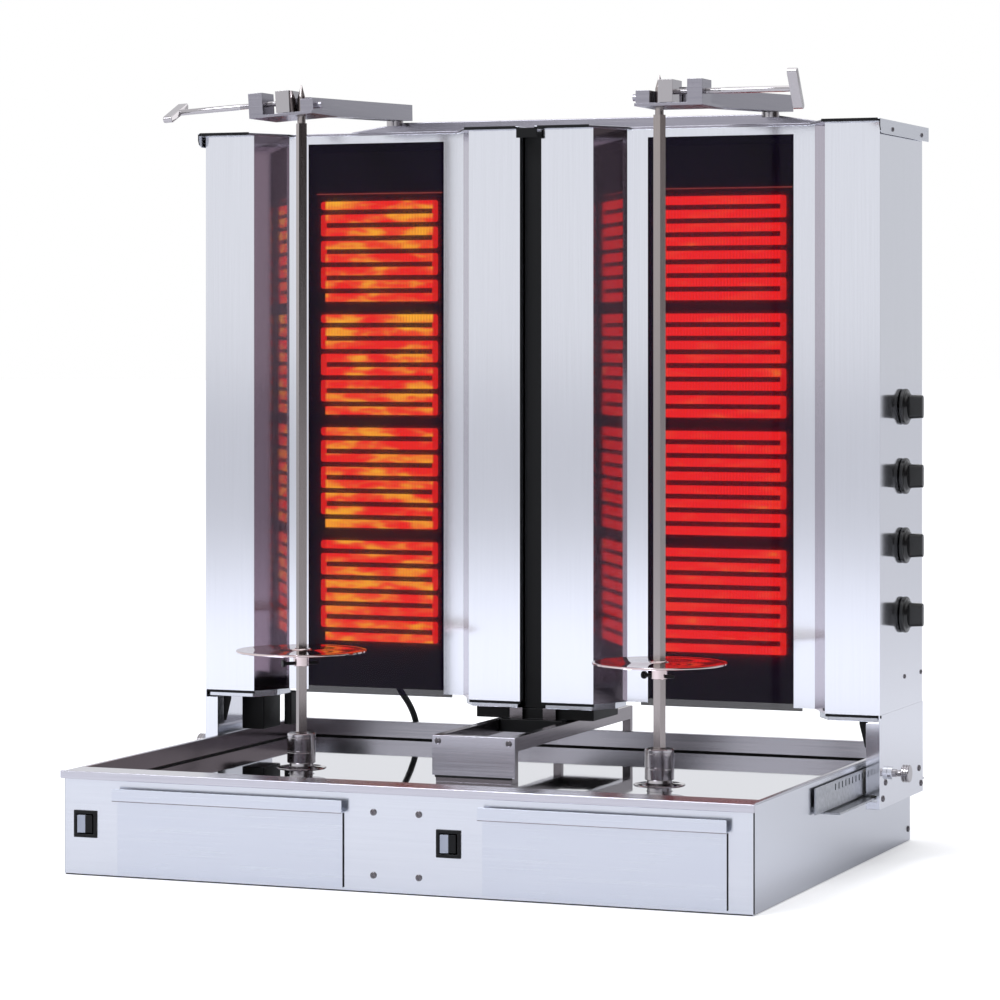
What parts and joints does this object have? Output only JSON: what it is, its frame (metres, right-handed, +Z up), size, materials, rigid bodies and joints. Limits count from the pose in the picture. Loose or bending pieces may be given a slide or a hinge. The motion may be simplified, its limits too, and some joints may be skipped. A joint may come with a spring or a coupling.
{
  "type": "vertical rotisserie broiler",
  "caption": "Electric vertical rotisserie broiler: twin glass-fronted heater towers slide over a drip-tray base that carries two motor-driven skewer spits and two drawers.",
  "frame": {"origin": "centre of the base's underside, on the counter", "axes": "+Z up, the operator's side at -Y, +X to the operator's right"},
  "size_m": [1.1212, 0.82, 1.11],
  "materials": {
    "black_plastic": "gloss",
    "black_steel": "satin black",
    "brushed_stainless": "brushed",
    "ceramic_glass": "dark ceramic glass",
    "fibre_board": "matte",
    "grey_plastic": "satin",
    "heating_strip": "glowing ribbon",
    "lead_rubber": "matte",
    "motor_grey": "semi gloss",
    "nylon": "matte",
    "polished_stainless": "polished",
    "zinc_steel": "satin"
  },
  "bodies": {
    "base": {"base_housing": "brushed_stainless", "base_floor": "brushed_stainless", "drip_tray": "polished_stainless", "drawer_runners": "zinc_steel", "left_switch_housing": "black_plastic", "right_switch_housing": "black_plastic", "spit_motors": "motor_grey", "lock_racks": "brushed_stainless", "carriage_rails": "zinc_steel", "centre_guide": "brushed_stainless", "guide_cover": "brushed_stainless", "base_gland": "black_plastic", "base_screws": "zinc_steel", "link_lead": "lead_rubber"},
    "carriage": {"left_tower_casing": "brushed_stainless", "right_tower_casing": "brushed_stainless", "window_glasses": "ceramic_glass", "heating_elements": "heating_strip", "heater_boards": "fibre_board", "tower_caps": "brushed_stainless", "wing_pans": "brushed_stainless", "left_side_plate": "brushed_stainless", "right_side_plate": "brushed_stainless", "carriage_glides": "nylon", "regulators": "motor_grey", "guide_slider": "black_steel", "centre_post": "black_steel", "post_brackets": "brushed_stainless", "wiring_box": "black_steel", "top_beam": "brushed_stainless", "arm_studs": "brushed_stainless", "tower_gland": "black_plastic", "tower_screws": "zinc_steel"},
    "left_spindle": {"left_spit_hub": "polished_stainless", "left_spit": "polished_stainless", "left_spit_disc": "polished_stainless"},
    "left_drawer_body": {"left_drawer": "brushed_stainless"},
    "left_switch_rocker": {"left_rocker": "grey_plastic"},
    "left_control_knob_1": {"left_knob_1": "black_plastic"},
    "left_control_knob_2": {"left_knob_2": "black_plastic"},
    "left_control_knob_3": {"left_knob_3": "black_plastic"},
    "left_control_knob_4": {"left_knob_4": "black_plastic"},
    "left_lock": {"left_lock_plunger": "zinc_steel"},
    "left_arm_body": {"left_arm": "brushed_stainless"},
    "left_jaw": {"left_clamp_jaw": "brushed_stainless"},
    "left_handle": {"left_clamp_handle": "zinc_steel"},
    "right_spindle": {"right_spit_hub": "polished_stainless", "right_spit": "polished_stainless", "right_spit_disc": "polished_stainless"},
    "right_drawer_body": {"right_drawer": "brushed_stainless"},
    "right_switch_rocker": {"right_rocker": "grey_plastic"},
    "right_control_knob_1": {"right_knob_1": "black_plastic"},
    "right_control_knob_2": {"right_knob_2": "black_plastic"},
    "right_control_knob_3": {"right_knob_3": "black_plastic"},
    "right_control_knob_4": {"right_knob_4": "black_plastic"},
    "right_lock": {"right_lock_plunger": "zinc_steel"},
    "right_arm_body": {"right_arm": "brushed_stainless"},
    "right_jaw": {"right_clamp_jaw": "brushed_stainless"},
    "right_handle": {"right_clamp_handle": "zinc_steel"}
  },
  "joints": [
    {"name": "carriage_slide", "type": "slide", "parent": "base", "child": "carriage", "axis": [0, -1, 0], "range_m": [0, 0.1512], "deforming": ["link_lead"]},
    {"name": "left_spit_turn", "type": "hinge", "parent": "base", "child": "left_spindle", "pos_m": [-0.2722, -0.0935, 0.13], "axis": [0, 0, 1], "continuous": true},
    {"name": "left_drawer_slide", "type": "slide", "parent": "base", "child": "left_drawer_body", "axis": [0, -1, 0], "range_m": [0, 0.34]},
    {"name": "left_switch_tip", "type": "hinge", "parent": "base", "child": "left_switch_rocker", "pos_m": [-0.4676, -0.3825, 0.071], "axis": [0, 0, -1], "range_deg": [0, 14]},
    {"name": "left_knob_1_turn", "type": "hinge", "parent": "carriage", "child": "left_control_knob_1", "pos_m": [-0.52855, 0.2363, 0.345], "axis": [-1, 0, 0], "range_deg": [0, 270]},
    {"name": "left_knob_2_turn", "type": "hinge", "parent": "carriage", "child": "left_control_knob_2", "pos_m": [-0.52855, 0.2363, 0.4448], "axis": [-1, 0, 0], "range_deg": [0, 270]},
    {"name": "left_knob_3_turn", "type": "hinge", "parent": "carriage", "child": "left_control_knob_3", "pos_m": [-0.52855, 0.2363, 0.5446], "axis": [-1, 0, 0], "range_deg": [0, 270]},
    {"name": "left_knob_4_turn", "type": "hinge", "parent": "carriage", "child": "left_control_knob_4", "pos_m": [-0.52855, 0.2363, 0.6444], "axis": [-1, 0, 0], "range_deg": [0, 270]},
    {"name": "left_lock_push", "type": "slide", "parent": "carriage", "child": "left_lock", "axis": [1, 0, 0], "range_m": [0, 0.0045]},
    {"name": "left_arm_slide", "type": "slide", "parent": "carriage", "child": "left_arm_body", "axis": [0, 0.9994, 0.0349], "range_m": [0, 0.1516]},
    {"name": "left_jaw_slide", "type": "slide", "parent": "left_arm_body", "child": "left_jaw", "axis": [-0.9981, 0, -0.0611], "range_m": [0, 0.012]},
    {"name": "left_handle_turn", "type": "hinge", "parent": "left_jaw", "child": "left_handle", "pos_m": [-0.27318, -0.0995, 1.08297], "axis": [-0.9981, 0, -0.0611], "range_deg": [0, 721]},
    {"name": "right_spit_turn", "type": "hinge", "parent": "base", "child": "right_spindle", "pos_m": [0.2722, -0.0935, 0.13], "axis": [0, 0, 1], "continuous": true},
    {"name": "right_drawer_slide", "type": "slide", "parent": "base", "child": "right_drawer_body", "axis": [0, -1, 0], "range_m": [0, 0.34]},
    {"name": "right_switch_tip", "type": "hinge", "parent": "base", "child": "right_switch_rocker", "pos_m": [0.0759, -0.3825, 0.071], "axis": [0, 0, -1], "range_deg": [0, 14]},
    {"name": "right_knob_1_turn", "type": "hinge", "parent": "carriage", "child": "right_control_knob_1", "pos_m": [0.52855, 0.2363, 0.345], "axis": [1, 0, 0], "range_deg": [0, 270]},
    {"name": "right_knob_2_turn", "type": "hinge", "parent": "carriage", "child": "right_control_knob_2", "pos_m": [0.52855, 0.2363, 0.4448], "axis": [1, 0, 0], "range_deg": [0, 270]},
    {"name": "right_knob_3_turn", "type": "hinge", "parent": "carriage", "child": "right_control_knob_3", "pos_m": [0.52855, 0.2363, 0.5446], "axis": [1, 0, 0], "range_deg": [0, 270]},
    {"name": "right_knob_4_turn", "type": "hinge", "parent": "carriage", "child": "right_control_knob_4", "pos_m": [0.52855, 0.2363, 0.6444], "axis": [1, 0, 0], "range_deg": [0, 270]},
    {"name": "right_lock_push", "type": "slide", "parent": "carriage", "child": "right_lock", "axis": [-1, 0, 0], "range_m": [0, 0.0045]},
    {"name": "right_arm_slide", "type": "slide", "parent": "carriage", "child": "right_arm_body", "axis": [0, 0.9994, 0.0349], "range_m": [0, 0.1516]},
    {"name": "right_jaw_slide", "type": "slide", "parent": "right_arm_body", "child": "right_jaw", "axis": [1, 0, 0], "range_m": [0, 0.012]},
    {"name": "right_handle_turn", "type": "hinge", "parent": "right_jaw", "child": "right_handle", "pos_m": [0.2722, -0.0995, 1.083], "axis": [1, 0, 0], "range_deg": [0, 721]}
  ],
  "couplings": [
    {"joint": "left_arm_slide", "follows": "carriage_slide", "ratio": 1.0006},
    {"joint": "left_handle_turn", "follows": "left_jaw_slide", "rad_per_m": 1047.2},
    {"joint": "right_arm_slide", "follows": "carriage_slide", "ratio": 1.0006},
    {"joint": "right_handle_turn", "follows": "right_jaw_slide", "rad_per_m": 1047.2}
  ]
}
